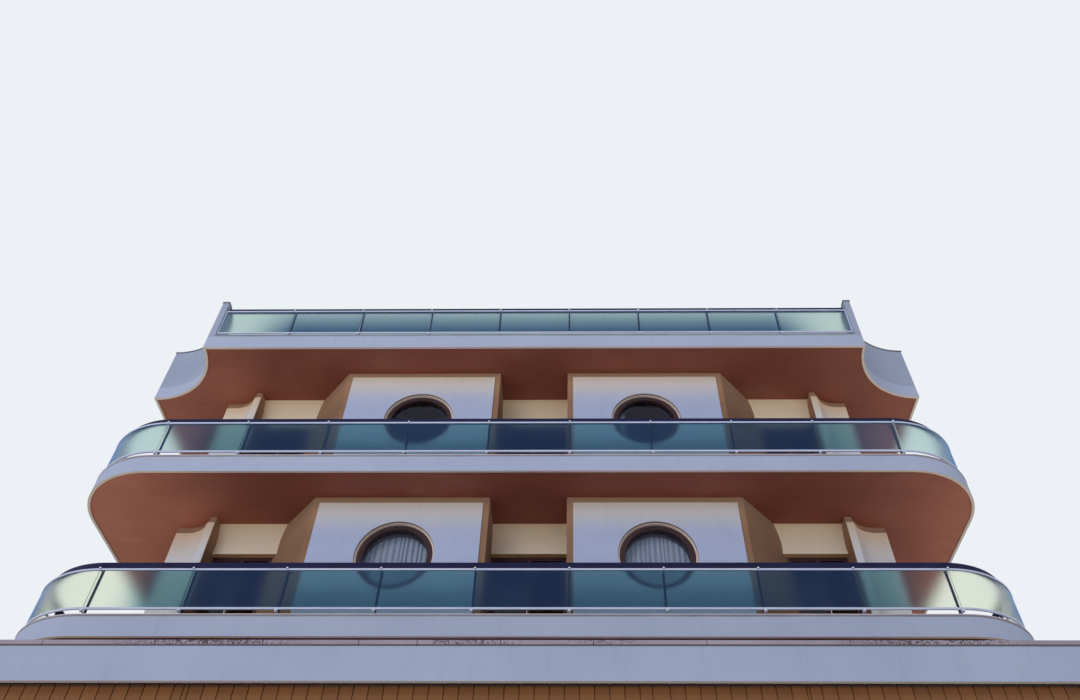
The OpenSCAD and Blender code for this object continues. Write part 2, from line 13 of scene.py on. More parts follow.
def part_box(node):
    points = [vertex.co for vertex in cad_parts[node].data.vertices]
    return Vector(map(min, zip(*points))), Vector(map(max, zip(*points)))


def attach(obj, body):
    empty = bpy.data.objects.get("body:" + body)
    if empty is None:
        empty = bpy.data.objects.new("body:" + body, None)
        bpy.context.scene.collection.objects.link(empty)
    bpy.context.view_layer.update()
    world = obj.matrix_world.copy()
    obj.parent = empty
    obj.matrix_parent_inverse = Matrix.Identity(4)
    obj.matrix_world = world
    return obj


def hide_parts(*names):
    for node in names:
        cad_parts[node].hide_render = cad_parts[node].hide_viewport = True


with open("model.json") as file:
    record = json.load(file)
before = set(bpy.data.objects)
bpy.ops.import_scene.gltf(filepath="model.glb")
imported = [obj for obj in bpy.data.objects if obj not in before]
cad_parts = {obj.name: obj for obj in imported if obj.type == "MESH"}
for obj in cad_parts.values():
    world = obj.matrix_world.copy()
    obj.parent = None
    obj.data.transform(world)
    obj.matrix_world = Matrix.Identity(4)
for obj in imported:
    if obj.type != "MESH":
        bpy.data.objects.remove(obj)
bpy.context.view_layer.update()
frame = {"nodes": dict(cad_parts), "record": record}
scene = bpy.context.scene

MM = 0.001
TURN = 2 * np.pi
# Points round a large circle, and round a quarter of a slab's corner
CIRCLE_POINTS = 96
CORNER_POINTS = 17


# Levels and faces read from the built parts

def low(node):
    """Lowest corner of a built part."""
    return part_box(node)[0]


def high(node):
    """Highest corner of a built part."""
    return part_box(node)[1]


TERRACE = high("terrace_floor").z
FLOORS = [TERRACE, high("lower_balcony_slab").z, high("upper_balcony_slab").z]
ROOF_DECK = high("roof_slab").z
STOREY_H = FLOORS[2] - FLOORS[1]
CLEAR_H = low("lower_balcony_slab").z - TERRACE
SLAB_HALF_W = high("lower_balcony_slab").x
SLAB_HALF_D = high("lower_balcony_slab").y
WALL_HALF_W = high("second_storey_side_walls").x
# Round corners of the slabs, and how far out their axes stand
CORNER_R = 1.420
AXIS_X, AXIS_Y = SLAB_HALF_W - CORNER_R, SLAB_HALF_D - CORNER_R
KERB_W = 0.260
PARAPET_T = 0.125
# Rolls of roofing felt lie across the roof, from just inside its edges
FELT_ROLL = 0.92
FELT_HALF_D = SLAB_HALF_D - 122 * MM
# Foot and head of the balustrade panes over the floor
PANE_FOOT = 189 * MM
PANE_HEAD = 834 * MM


# Materials

def linear(hex_colour):
    """Linear RGBA of an sRGB hex colour: each channel goes through the sRGB curve."""
    channels = [int(hex_colour[i:i + 2], 16) / 255 for i in (1, 3, 5)]
    return (*[c / 12.92 if c <= 0.04045 else ((c + 0.055) / 1.055) ** 2.4 for c in channels], 1)


def add(tree, kind, *inputs, output=0, **settings):
    """Adds a shader node with its settings and returns one of its outputs. Inputs are for its sockets
    in their order, or one dictionary by name: a value, a hex colour, or the output that feeds it."""
    made = tree.nodes.new("ShaderNode" + kind)
    for name, value in settings.items():
        setattr(made, name, value)
    named = inputs and isinstance(inputs[0], dict)
    for socket, value in (inputs[0] if named else dict(enumerate(inputs))).items():
        if isinstance(value, bpy.types.NodeSocket):
            tree.links.new(value, made.inputs[socket])
        else:
            made.inputs[socket].default_value = linear(value) if isinstance(value, str) else value
    return made.outputs[output] if made.outputs else None


def new_material(name, surface, *details):
    """A material. Its surface function makes the shader from the node tree, the object coordinates
    that every pattern reads, and the details."""
    made = bpy.data.materials.new(name)
    made.use_nodes = True
    tree = made.node_tree
    tree.nodes.clear()
    place = add(tree, "TexCoord", output="Object")
    add(tree, "OutputMaterial", {"Surface": surface(tree, place, *details)})
    return made


def patches(tree, place, size, colours, detail=5.0, stretch=(1, 1, 1)):
    """Soft patches about size metres across, between two colours, drawn out where stretch is small."""
    scaled = add(tree, "Mapping", {"Vector": place, "Scale": stretch})
    noise = add(tree, "TexNoise", {"Vector": scaled, "Scale": 1 / size, "Detail": detail,
                                   "Roughness": 0.6})
    blend = add(tree, "ValToRGB", noise)
    for stop, position, colour in zip(blend.node.color_ramp.elements, (0.32, 0.68), colours):
        stop.position, stop.color = position, linear(colour)
    return blend


def mask(tree, place, size, start, end, detail=4.0, stretch=(1, 1, 1), most=1.0):
    """Noise about size metres across as a mask, which rises from 0 to most between start and end."""
    scaled = add(tree, "Mapping", {"Vector": place, "Scale": stretch})
    noise = add(tree, "TexNoise", {"Vector": scaled, "Scale": 1 / size, "Detail": detail})
    return add(tree, "MapRange", {"Value": noise, "From Min": start, "From Max": end, "To Max": most},
               interpolation_type="SMOOTHSTEP")


def grain(tree, place, size, depth, strength=1.0, under=None):
    """Bump of a fine grain, size metres across and depth metres deep, on top of another bump."""
    noise = add(tree, "TexNoise", {"Vector": place, "Scale": 1 / size, "Detail": 3.0})
    inputs = {"Height": noise, "Distance": depth, "Strength": strength}
    if under is not None:
        inputs["Normal"] = under
    return add(tree, "Bump", inputs)


def height_over(tree, place, level):
    """Height over a level, which starts anew with each storey."""
    height = add(tree, "SeparateXYZ", place, output="Z")
    above = add(tree, "Math", height, level, operation="SUBTRACT")
    return add(tree, "Math", above, STOREY_H, operation="FLOORED_MODULO")


def higher_than(tree, place, level):
    """1 above a level and 0 below it."""
    height = add(tree, "SeparateXYZ", place, output="Z")
    return add(tree, "Math", height, level, operation="GREATER_THAN")


def down_from(tree, place, level, start, end, most=1.0):
    """0 at start metres below a level and most at end metres below it, and the same beyond them."""
    height = add(tree, "SeparateXYZ", place, output="Z")
    return add(tree, "MapRange", {"Value": height, "From Min": level - start, "From Max": level - end,
                                  "To Max": most}, interpolation_type="SMOOTHSTEP")


def near_corner(tree, place, start, end):
    """0 where the axis of the nearest rounded corner is start metres away, seen from above, and 1
    where it is end metres away."""
    plan = add(tree, "VectorMath", place, operation="ABSOLUTE")
    plan = add(tree, "VectorMath", plan, (1, 1, 0), operation="MULTIPLY")
    away = add(tree, "VectorMath", plan, (AXIS_X, AXIS_Y, 0), output="Value", operation="DISTANCE")
    return add(tree, "MapRange", {"Value": away, "From Min": start, "From Max": end},
               interpolation_type="SMOOTHSTEP")


# How far from the axis of a rounded corner the painted highlight on the undersides begins, and how far
# it is brightest
LIP_LIGHT_ZONE = (1.95, 1.45)


def painted_render(tree, place, paint, shade, underside_light_and_shade, dirt, ceiling_bounce_light=None, corner_underside_light=None):
    """Cement render under masonry paint: a dead matt face with a fine sandy grain, slow changes of
    tone, faint runs of dirt down the upright faces, and painted light and shade on the undersides, which
    may have a painted highlight of its own round the corners of a slab. Under the ceilings, painted warm
    light stands for the light that the terracotta ceilings cast back."""
    # Painted highlight on the undersides round the corners of a slab
    if corner_underside_light:
        corner = near_corner(tree, place, *LIP_LIGHT_ZONE)
        underside_light_and_shade = add(tree, "MixRGB", corner, underside_light_and_shade, corner_underside_light)
    tone = patches(tree, place, 1.6, (shade, paint))
    if ceiling_bounce_light:
        # Painted warm bounce light: all of it at the ceiling of a storey, and none 0.85 m below it
        bounce_share = add(tree, "MapRange", {"Value": height_over(tree, place, TERRACE),
                                           "From Min": CLEAR_H - 0.85, "From Max": CLEAR_H})
        bounce_share = add(tree, "Math", bounce_share, 1.5, operation="POWER")
        tone = add(tree, "MixRGB", bounce_share, tone, ceiling_bounce_light)
    runs = mask(tree, place, 0.10, 0.52, 0.74, stretch=(1, 1, 0.09), most=0.06)
    tone = add(tree, "MixRGB", runs, tone, dirt, blend_type="MULTIPLY")
    # Painted light and shade on the undersides, the faces whose normal points nearly straight down
    normal = add(tree, "NewGeometry", output="Normal")
    upward = add(tree, "SeparateXYZ", normal, output="Z")
    upright = add(tree, "MapRange", {"Value": upward, "From Min": -0.9, "From Max": -0.4})
    tone = add(tree, "MixRGB", upright, underside_light_and_shade, tone)
    # Sand in the render is 1 to 2 mm across: drawn 9 mm across so that it shows
    bump = grain(tree, place, 9 * MM, 1.5 * MM, 0.5)
    bump = grain(tree, place, 0.5, 4 * MM, 0.4, bump)
    return add(tree, "BsdfPrincipled", {"Base Color": tone, "Roughness": 0.88, "Normal": bump})


def trowelled_ceiling_paint(tree, place):
    """Terracotta paint on a hand-trowelled soffit: broad, soft trowel marks change its tone and
    catch the light at the sides, with a slight sheen of old paint. It is painted lighter towards the ends
    of the building, as painted light from the open sides, less so under the roof, and painted dark over
    the terrace, as painted shade."""
    shaded_tone, side_lit_tone = [patches(tree, place, 0.55, pair, 6.0, (0.7, 1.3, 1)) for pair in
                    (("#904E3A", "#9C5640"), ("#CA7A5B", "#D88766"))]
    # The painted light grows to either side of a line 0.6 m right of the middle: the left end is the
    # lighter one
    side = add(tree, "SeparateXYZ", place, output="X")
    side = add(tree, "Math", side, 0.6, operation="SUBTRACT")
    side = add(tree, "Math", side, operation="ABSOLUTE")
    side_light = add(tree, "MapRange", {"Value": side, "From Min": 4.8, "From Max": 8.2},
                 interpolation_type="SMOOTHSTEP")
    # Under the roof the painted light is weaker
    roof = higher_than(tree, place, FLOORS[2] + 1)
    share = add(tree, "MapRange", {"Value": roof, "To Min": 1.0, "To Max": 0.45})
    side_light = add(tree, "Math", side_light, share, operation="MULTIPLY")
    tone = add(tree, "MixRGB", side_light, shaded_tone, side_lit_tone)
    # Painted shade on the soffit over the terrace
    tone = add(tree, "MixRGB", higher_than(tree, place, FLOORS[1]), "#4A2A22", tone)
    blooms = mask(tree, place, 1.8, 0.5, 0.75, most=0.35)
    tone = add(tree, "MixRGB", blooms, tone, "#B4795F")
    # Trowel marks are 150 to 400 mm long
    bump = grain(tree, place, 0.22, 3 * MM, 0.35)
    return add(tree, "BsdfPrincipled", {"Base Color": tone, "Roughness": 0.72, "Normal": bump})


def mouldy_coping_stone(tree, place):
    """White cast coping stone, weathered: long dirty stretches covered with dark specks of mould,
    clean ones between them, and a dark line of painted shade at the foot of each stone."""
    tone = patches(tree, place, 0.7, ("#8A7F8E", "#A096A4"))
    # Two stretches of mould on the front, 3.85 m to either side of a line 0.75 m right of the middle.
    # More than 2.4 m away from both, on the sides too, it grows in patches of its own
    side = add(tree, "SeparateXYZ", place, output="X")
    for middle in (0.75, 3.85):
        side = add(tree, "Math", side, middle, operation="SUBTRACT")
        side = add(tree, "Math", side, operation="ABSOLUTE")
    stretches = add(tree, "MapRange", {"Value": side, "From Min": 1.15, "From Max": 0.35})
    outer = add(tree, "Math", side, 2.4, operation="GREATER_THAN")
    wild = mask(tree, place, 2.6, 0.46, 0.60, 1.0)
    outer = add(tree, "Math", outer, wild, operation="MULTIPLY")
    stretches = add(tree, "Math", stretches, outer, operation="MAXIMUM")
    # Colonies of mould are 5 to 20 mm across
    specks = mask(tree, place, 20 * MM, 0.46, 0.60, 6.0)
    mould = add(tree, "Math", stretches, specks, operation="MULTIPLY")
    tone = add(tree, "MixRGB", mould, tone, "#4A3E42")
    # Painted shade in a line along the foot of the stone
    foot = higher_than(tree, place, low("ground_coping").z + 15 * MM)
    tone = add(tree, "MixRGB", foot, "#5E5458", tone)
    bump = grain(tree, place, 12 * MM, 2 * MM, 0.6)
    return add(tree, "BsdfPrincipled", {"Base Color": tone, "Roughness": 0.9, "Normal": bump})


def weathered_kerb_paint(tree, place):
    """Masonry paint of the kerbs and their caps, pale at the foot of a balcony's kerb, with a painted
    shadow under the nose of the cap and a painted highlight on the nose. The kerb and cap of the roof are
    grey with painted shade, darker upwards."""
    # Each colour but the first starts at a height in millimetres over the floor. The roof's deck is
    # 70 mm higher than a floor would be
    # From the foot up: the kerb's pale foot, painted shadow under the cap's nose, painted highlight on the
    # nose, then the roof's kerb and cap in painted shade
    foot, *bands = "#B4B7C4", (14, "#8C8B99"), (36, "#D6CED8"), (66, "#AAB5C1"), (90, "#8E98A8")
    top = 150
    height = add(tree, "MapRange", {"Value": height_over(tree, place, FLOORS[1]), "From Max": top * MM})
    tone = add(tree, "ValToRGB", height)
    ramp = tone.node.color_ramp
    ramp.interpolation = "CONSTANT"
    ramp.elements.remove(ramp.elements[1])
    ramp.elements[0].color = linear(foot)
    for level, colour in bands:
        ramp.elements.new(level / top).color = linear(colour)
    worn = patches(tree, place, 0.9, ("#E4E4E4", "#FFFFFF"))
    tone = add(tree, "MixRGB", worn, "#000000", tone)
    bump = grain(tree, place, 9 * MM, 1.5 * MM, 0.5)
    return add(tree, "BsdfPrincipled", {"Base Color": tone, "Roughness": 0.88, "Normal": bump})


def stained_boards(tree, place):
    """Brown stained softwood boards: each board has its own tone, with long grain lines, under a
    satin wood stain. The overhang of the band is painted on them: deep painted shadow just under the band,
    and a paler painted light from 80 to 170 mm below it and all the way down."""
    board = add(tree, "Attribute", output="Fac", attribute_name="board_tone")
    tone = add(tree, "MixRGB", board, "#603816", "#6B401B")
    # Grain lines of softwood are 2 to 6 mm apart: drawn 14 mm apart so that they show
    lines = mask(tree, place, 14 * MM, 0.45, 0.75, 3.0, (1, 1, 0.03), 0.45)
    tone = add(tree, "MixRGB", lines, tone, "#54300F")
    band = low("ground_band").z
    # Painted light and shadow of the band's overhang
    lit_below_band = down_from(tree, place, band, 80 * MM, 170 * MM, 0.4)
    tone = add(tree, "MixRGB", lit_below_band, tone, "#8C6444")
    shadow_under_band = down_from(tree, place, band, 75 * MM, 2 * MM)
    tone = add(tree, "MixRGB", shadow_under_band, tone, "#180B04")
    bump = grain(tree, place, 14 * MM, 1 * MM, 0.4)
    return add(tree, "BsdfPrincipled", {"Base Color": tone, "Roughness": 0.6, "Normal": bump,
                                        "Specular IOR Level": 0.3})


def enamelled_metal(tree, place, colour, worn, roughness, shine=0.5):
    """Powder-coated metal: an even satin coat with a trace of orange peel, a little chalky in places."""
    tone = patches(tree, place, 0.4, (worn, colour))
    bump = grain(tree, place, 6 * MM, 0.3 * MM, 0.25)
    return add(tree, "BsdfPrincipled", {"Base Color": tone, "Roughness": roughness, "Normal": bump,
                                        "Specular IOR Level": shine})


def polished_steel(tree, place):
    """Turned and polished stainless steel of knobs and door pulls: bright, with faint turning lines."""
    tone = patches(tree, place, 0.05, ("#D6D8DE", "#E8EAEE"))
    bump = grain(tree, place, 4 * MM, 0.1 * MM, 0.2)
    return add(tree, "BsdfPrincipled", {"Base Color": tone, "Metallic": 1.0, "Roughness": 0.32,
                                        "Normal": bump})


def varnished_joinery(tree, place):
    """Dark brown varnished hardwood of windows and doors: satin, with the grain just showing."""
    tone = patches(tree, place, 0.06, ("#362327", "#483135"), 4.0, (1, 1, 0.2))
    bump = grain(tree, place, 10 * MM, 0.4 * MM, 0.3)
    return add(tree, "BsdfPrincipled", {"Base Color": tone, "Roughness": 0.42, "Normal": bump,
                                        "Specular IOR Level": 0.25})


def mirroring(tree, behind, colour, roughness):
    """Adds the gloss of a glass face to what is seen through it: two hundredths straight on and most
    of it edge on, rising with the fifth power of the slant, alike on both faces of a pane."""
    slant = add(tree, "LayerWeight", 0.5, output="Facing")
    steep = add(tree, "Math", slant, 5.0, operation="POWER")
    share = add(tree, "MapRange", {"Value": steep, "To Min": 0.02, "To Max": 0.9})
    gloss = add(tree, "BsdfGlossy", {"Color": colour, "Roughness": roughness})
    return add(tree, "MixShader", share, behind, gloss)


def clear_pane(tree, place):
    """Float glass of the windows: it mirrors the surroundings and darkens what is behind it a little."""
    through = add(tree, "BsdfTransparent", {"Color": "#F0F5F5"})
    return mirroring(tree, through, "#C4CEE6", 0.03)


# How far from the axis of a rounded corner the painted light on the panes begins, and how far it is
# palest.
# On the balconies this zone ends just past the joint that is nearest to the corner
CORNER_LIGHT_ZONE = (1.70, 1.38)
ROOF_CORNER_LIGHT_ZONE = (2.25, 1.42)


def satin_laminated_glass(tree, place):
    """Blue-green laminated glass with a satin interlayer: it lets through a dark teal view and mirrors
    at a slant with a blue cast, a painted reflection of a blue sky. Towards the corners of the building it
    is painted a pale mint, painted light where it stands in the light on two sides, and its foot is darker
    with painted shade. Light passes two faces of a pane."""
    # Painted shade: the foot of a pane is darker than its head, most of all against the sky on the roof
    foot = add(tree, "MapRange", {"Value": height_over(tree, place, FLOORS[1]), "From Min": 0.75,
                                  "From Max": 0.25, "To Max": 0.12})
    tint = add(tree, "MixRGB", foot, "#C3E0DA", "#97B8C0", blend_type="MULTIPLY")
    foot = add(tree, "MapRange", {"Value": height_over(tree, place, ROOF_DECK),
                                  "From Min": PANE_HEAD, "From Max": PANE_FOOT})
    roof_tint = add(tree, "MixRGB", foot, "#D6E2DE", "#7C98A7")
    # Painted light: the panes turn a pale mint towards the corners of the roof and of the balconies
    roof_corner = near_corner(tree, place, *ROOF_CORNER_LIGHT_ZONE)
    roof_tint = add(tree, "MixRGB", roof_corner, roof_tint, "#E6F2E8")
    corner = near_corner(tree, place, *CORNER_LIGHT_ZONE)
    upper = higher_than(tree, place, FLOORS[2])
    corner_tint = add(tree, "MixRGB", upper, "#F8FAEE", "#EBF8F0")
    tint = add(tree, "MixRGB", corner, tint, corner_tint)
    tint = add(tree, "MixRGB", higher_than(tree, place, ROOF_DECK), tint, roof_tint)
    # The eye sees a slightly soft view through the satin layer: light and shade pass straight through
    rays = add(tree, "LightPath").node.outputs
    seen = add(tree, "Math", rays["Is Camera Ray"], rays["Is Transmission Ray"], operation="MAXIMUM")
    plain = add(tree, "BsdfTransparent", {"Color": tint})
    soft = add(tree, "BsdfRefraction", {"Color": tint, "Roughness": 0.36, "IOR": 1.15})
    through = add(tree, "MixShader", seen, plain, soft)
    glow = patches(tree, place, 1.2, ("#C2D2D2", "#CEDCD8"))
    back = add(tree, "BsdfTranslucent", {"Color": glow})
    # The blue front scatter is painted skylight
    front = add(tree, "BsdfDiffuse", {"Color": "#4C6CC8"})
    scatter = add(tree, "MixShader", 0.5, back, front)
    # The corner panes of the lower balcony are the clearest, with the least scatter over their painted
    # light
    clearest = add(tree, "Math", upper, corner, operation="LESS_THAN")
    clearest = add(tree, "Math", clearest, corner, operation="MULTIPLY")
    milky = add(tree, "MapRange", {"Value": clearest, "To Min": 0.115, "To Max": 0.02})
    body = add(tree, "MixShader", milky, through, scatter)
    # The blue cast of the gloss is a painted reflection of a blue sky
    return mirroring(tree, body, "#8CAEEC", 0.06)


def ground_glass_edge(tree, place):
    """Ground edge of a thick pane: matt blue-green, with painted light near the corners, pale like the
    panes there, so that the joint hardly shows there."""
    tone = patches(tree, place, 0.4, ("#36505E", "#405C68"))
    # Painted light towards the corners
    tone = add(tree, "MixRGB", near_corner(tree, place, *CORNER_LIGHT_ZONE), tone, "#E8F6EC")
    return add(tree, "BsdfPrincipled", {"Base Color": tone, "Roughness": 0.55})


def sheer_curtain_cloth(tree, place):
    """Pale woven voile: matt threads that light passes through, with a painted highlight along the ridges
    of the folds and painted shade in their hollows."""
    # Painted highlight on the ridges of the folds and painted shade in their hollows
    fold_light = add(tree, "Attribute", output="Fac", attribute_name="fold_light")
    tone = add(tree, "MixRGB", fold_light, "#A6A4CA", "#DCDAF4")
    # Threads are 0.5 mm apart: drawn 8 mm apart so that they show
    threads = add(tree, "TexWave", {"Vector": place, "Scale": 1 / (8 * MM) / TURN, "Distortion": 0.4},
                  output="Fac", bands_direction="Z")
    faint = add(tree, "Math", threads, 0.15, operation="MULTIPLY")
    tone = add(tree, "MixRGB", faint, tone, "#A8A8D2")
    front = add(tree, "BsdfDiffuse", {"Color": tone})
    through = add(tree, "BsdfTranslucent", {"Color": tone})
    return add(tree, "MixShader", 0.35, front, through)


def laid_tiles(tree, place, tile, colours, joint, roughness):
    """Square tiles with sunk joints: each tile differs a little in tone."""
    bricks = add(tree, "TexBrick", {"Vector": place, "Color1": colours[0], "Color2": colours[1],
                                    "Mortar": joint, "Scale": 1.0, "Mortar Size": 6 * MM,
                                    "Mortar Smooth": 0.2, "Brick Width": tile, "Row Height": tile},
                 offset=0.0)
    stains = mask(tree, place, 0.8, 0.5, 0.8, most=0.25)
    tone = add(tree, "MixRGB", stains, bricks, joint)
    bump = add(tree, "Bump", {"Height": bricks.node.outputs["Fac"], "Distance": 2 * MM,
                              "Strength": 0.8}, invert=True)
    return add(tree, "BsdfPrincipled", {"Base Color": tone, "Roughness": roughness, "Normal": bump})


def grey_concrete(tree, place):
    """Plain cast concrete: mottled grey with fine pores."""
    tone = patches(tree, place, 0.6, ("#7C7872", "#96928B"))
    bump = grain(tree, place, 15 * MM, 3 * MM, 0.6)
    return add(tree, "BsdfPrincipled", {"Base Color": tone, "Roughness": 0.92, "Normal": bump})


def slate_roofing_felt(tree, place):
    """Bitumen felt with a coat of grey slate chips: a rough, speckled grey sheet."""
    # Slate chips are 2 mm across: drawn 14 mm across so that they show
    tone = patches(tree, place, 14 * MM, ("#6E6E70", "#9A9894"), 2.0)
    damp = mask(tree, place, 1.5, 0.5, 0.75, most=0.35)
    tone = add(tree, "MixRGB", damp, tone, "#58585A")
    # Bitumen that was pressed out along each lap
    pressed_out = 40 * MM
    depth = add(tree, "SeparateXYZ", place, output="Y")
    along = add(tree, "Math", depth, FELT_HALF_D + pressed_out, operation="ADD")
    along = add(tree, "Math", along, FELT_ROLL, operation="FLOORED_MODULO")
    seam = add(tree, "Math", along, pressed_out, operation="LESS_THAN")
    tone = add(tree, "MixRGB", seam, tone, "#3A3A3D")
    bump = grain(tree, place, 14 * MM, 2 * MM, 0.8)
    return add(tree, "BsdfPrincipled", {"Base Color": tone, "Roughness": 0.95, "Normal": bump})


# Colours of each masonry paint: the paint and a second tone of it, the painted light and shade of the
# undersides, dirt, the painted warm bounce light under the ceilings, and the painted highlight on the
# undersides round the corners of a slab. The whites carry the painted blue-lilac shade of a blue sky,
# and the band and the parapets have darker copies of the white, painted shade.
MASONRY_PAINTS = {
    "white_render": ("white_masonry_paint", "#A9B2CB", "#A1AAC4", "#F4DED9", "#8E8A90", None, "#FFEBD0"),
    "band_render": ("white_band_paint", "#A2ABC3", "#9AA3BC", "#DCCFC6", "#8E8A90"),
    "parapet_render": ("white_parapet_paint", "#9AA3BA", "#939BB3", "#F4DED9", "#8E8A90", None, "#FFEBD0"),
    "panel_render": ("white_panel_paint", "#AAB3D1", "#A2ABCA", "#9A9088", "#8E8A90", "#E8D8BE"),
    "fin_render": ("white_fin_paint", "#D0D1D7", "#C5C7CF", "#A58D70", "#9A8C80", "#FBDDB4"),
    "lining_render": ("cream_lining_paint", "#EADACC", "#DECEC0", "#BFB0AC", "#9A8C80"),
    "tan_render": ("tan_masonry_paint", "#8E6C54", "#816049", "#967456", "#6E5844", "#B08A6C"),
    "cream_render": ("cream_masonry_paint", "#E6DACC", "#DED0C2", "#E8B888", "#9A8468", "#FFE6C0"),
}
OTHER_FINISHES = {
    "concrete": ("cast_concrete", grey_concrete),
    "boarded_wall": ("stained_softwood_boards", stained_boards),
    "coping": ("weathered_cast_stone", mouldy_coping_stone),
    "kerb_paint": ("weathered_kerb_paint", weathered_kerb_paint),
    "terrace_paving": ("terrace_quarry_tiles", laid_tiles, 0.300, ("#A5806A", "#9A7661"), "#6E6058", 0.7),
    "balcony_tiles": ("balcony_stoneware_tiles", laid_tiles, 0.200, ("#AC8B76", "#A18069"), "#70655E",
                      0.55),
    "dark_joinery": ("varnished_dark_hardwood", varnished_joinery),
    "window_glass": ("clear_float_glass", clear_pane),
    "curtain_cloth": ("woven_voile", sheer_curtain_cloth),
    "terracotta_paint": ("trowelled_terracotta_paint", trowelled_ceiling_paint),
    "tinted_glass": ("satin_laminated_glass", satin_laminated_glass),
    "white_metal": ("white_powder_coat", enamelled_metal, "#C0C8E0", "#B2BAD6", 0.35),
    "steel": ("polished_stainless_steel", polished_steel),
    "ground_glass_edge": ("ground_glass_edge", ground_glass_edge),
    "navy_metal": ("navy_powder_coat", enamelled_metal, "#1A1B3A", "#202144", 0.55, 0.12),
    "flashing": ("grey_metal_flashing", enamelled_metal, "#5C5F64", "#6E6F70", 0.45),
    "roof_felt": ("slate_chip_roofing_felt", slate_roofing_felt),
}
FINISH = {finish: new_material(name, painted_render, *colours)
          for finish, (name, *colours) in MASONRY_PAINTS.items()}
FINISH.update({finish: new_material(*row) for finish, row in OTHER_FINISHES.items()})


def paint_cad_nodes():
    """Each built part takes the finish of its own slot, apart from eight with a finish of their own."""
    special = {"ground_coping": "coping", "parapet_caps": "flashing", "fin_render": "fin_render",
               "render_panels": "panel_render", "round_window_linings": "lining_render",
               "ground_band": "band_render", "roof_parapets": "parapet_render", "kerbs": "kerb_paint"}
    for row in frame["record"]["subparts"]:
        name = row["node"]
        for slot in frame["nodes"][name].material_slots:
            slot.material = FINISH[special.get(name, row["material_slot"])]


# Meshes. A shape is its points and its blocks of faces

def quads(rows, cols, wrap_rows=False, wrap_cols=False):
    """Corner numbers of the quads between the points of a grid, which may close on itself."""
    row = np.arange(rows if wrap_rows else rows - 1)
    col = np.arange(cols if wrap_cols else cols - 1)
    row, col = [a.ravel() for a in np.meshgrid(row, col, indexing="ij")]
    next_row, next_col = (row + 1) % rows, (col + 1) % cols
    return np.stack([row * cols + col, next_row * cols + col,
                     next_row * cols + next_col, row * cols + next_col], axis=1)


def closed_ring(grid):
    """A grid of points that closes on itself both ways: round its path and round its section."""
    return grid.reshape(-1, 3), [quads(*grid.shape[:2], True, True)]


def capped(sections):
    """Like sections, one after the other, joined by quads and closed at both ends."""
    rows, count = sections.shape[:2]
    caps = np.stack([np.arange(count)[::-1], (rows - 1) * count + np.arange(count)])
    return sections.reshape(-1, 3), [quads(rows, count, wrap_cols=True), caps]


def numbered(blocks, count, size):
    """The blocks of faces of one shape for a number of like shapes, each with size points."""
    steps = np.arange(count)[:, None, None] * size
    return [(block[None] + steps).reshape(-1, block.shape[1]) for block in blocks]


def repeated(shape, places):
    """The same shape moved to each of the places."""
    points, blocks = shape
    all_points = (places[:, None, :] + points[None, :, :]).reshape(-1, 3)
    return all_points, numbered(blocks, len(places), len(points))


def turned(shape, quarter_turns):
    """A shape turned about the Z axis by a number of quarter turns."""
    points, blocks = shape
    angle = quarter_turns * np.pi / 2
    cos, sin = np.cos(angle), np.sin(angle)
    return points @ np.array([[cos, sin, 0], [-sin, cos, 0], [0, 0, 1]]), blocks


def joined(shapes):
    """Several shapes as one."""
    starts = np.cumsum([0] + [len(points) for points, _ in shapes])
    blocks = [block + start for (_, part), start in zip(shapes, starts) for block in part]
    return np.concatenate([points for points, _ in shapes]), blocks


def at_height(section, z):
    """A section of points in plan, at one height."""
    return np.concatenate([section, np.full((len(section), 1), z)], axis=1)


def bar(section, start, end):
    """Straight bar along Z: its section at one level and at another, joined and capped."""
    return capped(np.stack([at_height(section, z) for z in (start, end)]))


def eased_section(width, depth, ease):
    """Section of a bar that is centred on X and runs back from Y 0: a rectangle with its corners cut."""
    half = width / 2
    front = [[-half, ease], [ease - half, 0], [half - ease, 0], [half, ease]]
    return np.array(front + [[x, depth - y] for x, y in front[::-1]])


def turned_profile(profile, segments):
    """Grid of points of a profile of radius and depth that is turned once round the Y axis."""
    angle = np.linspace(0, TURN, segments, endpoint=False)[:, None]
    radius, depth = profile.T
    return np.stack([radius * np.cos(angle), depth + 0 * angle, radius * np.sin(angle)], axis=2)


def new_object(name, data):
    """An object of a mesh, a lens or a lamp, in the scene."""
    made = bpy.data.objects.new(name, data)
    scene.collection.objects.link(made)
    return made


def new_piece(name, shape, finish, smooth=False):
    """Makes a mesh object of a shape, facing outwards, and fixes it to the building."""
    points, blocks = shape
    mesh = bpy.data.meshes.new(name)
    mesh.from_pydata(points.tolist(), [], [face for block in blocks for face in block.tolist()])
    shell = bmesh.new()
    shell.from_mesh(mesh)
    bmesh.ops.recalc_face_normals(shell, faces=shell.faces)
    shell.to_mesh(mesh)
    shell.free()
    mesh.polygons.foreach_set("use_smooth", np.full(len(mesh.polygons), smooth))
    mesh.materials.append(FINISH[finish])
    made = new_object(name, mesh)
    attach(made, "root")
    return made


def number_points(piece, name, values):
    """Gives each point of a piece a number, which its material reads by name."""
    numbers = piece.data.attributes.new(name, "FLOAT", "POINT")
    numbers.data.foreach_set("value", values.astype(np.float32))


# Boarded walls of the ground floor

BOARD_PITCH = 154 * MM
BOARD_GROOVE = 9 * MM
BOARD_T = 14 * MM
BOARD_CHAMFER = 3 * MM
LEAST_BOARD = 30 * MM
